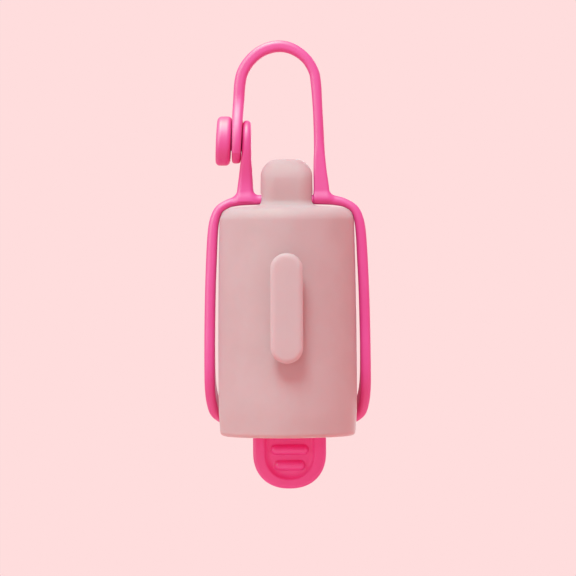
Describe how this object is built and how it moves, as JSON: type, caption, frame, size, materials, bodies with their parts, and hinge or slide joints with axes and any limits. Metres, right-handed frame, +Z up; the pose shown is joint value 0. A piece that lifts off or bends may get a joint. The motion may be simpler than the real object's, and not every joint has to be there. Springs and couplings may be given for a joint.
{
  "type": "dog poop bag dispenser",
  "caption": "Silicone dog waste bag dispenser: a cylindrical sleeve for a bag roll in a strap harness with a button-on carry loop, a front hook and a hinged bottom lid.",
  "frame": {"origin": "centre of the carry loop's arch, where a leash or a handle passes through the loop", "axes": "+Z up along the sleeve, +Y through the loop from front to back, +X to the right as seen from the front; the front faces -Y"},
  "size_m": [0.0514, 0.0525, 0.1397],
  "materials": {
    "sleeve_silicone": "matte moulded silicone, dusty pink",
    "harness_silicone": "matte moulded silicone, hot pink",
    "core_card": "plain grey-brown card",
    "bag_film": "thin soft film, wound in flat layers"
  },
  "bodies": {
    "dispenser": {"sleeve": "sleeve_silicone", "bag_hook": "sleeve_silicone", "shoulder_strap": "harness_silicone", "side_band_left": "harness_silicone", "side_band_right": "harness_silicone", "back_band": "harness_silicone", "button_post": "harness_silicone", "button_stud": "harness_silicone"},
    "carry_strap": {"strap_riser": "harness_silicone", "strap_arch": "harness_silicone"},
    "strap_end": {"strap_tail": "harness_silicone", "strap_eyelet": "harness_silicone"},
    "lid": {"lid_plug": "harness_silicone", "pull_tab": "harness_silicone"},
    "roll": {"roll_core": "core_card", "bag_roll": "bag_film"}
  },
  "joints": [
    {"name": "strap_swing", "type": "hinge", "parent": "dispenser", "child": "carry_strap", "pos_m": [0.01315, 0, -0.03065], "axis": [0, 1, 0], "range_deg": [0, 50], "deforming": ["strap_eyelet"]},
    {"name": "strap_unbutton", "type": "hinge", "parent": "carry_strap", "child": "strap_end", "pos_m": [-0.01185, 0, -0.00215], "axis": [0, 1, 0], "range_deg": [0, 80], "deforming": ["strap_eyelet"]},
    {"name": "lid_open", "type": "hinge", "parent": "dispenser", "child": "lid", "pos_m": [0.0025, 0.022, -0.10685], "axis": [1, 0, 0], "range_deg": [0, 90]},
    {"name": "roll_spin", "type": "hinge", "parent": "dispenser", "child": "roll", "pos_m": [0.0025, 0, -0.075], "axis": [0, 0, 1], "continuous": true}
  ]
}
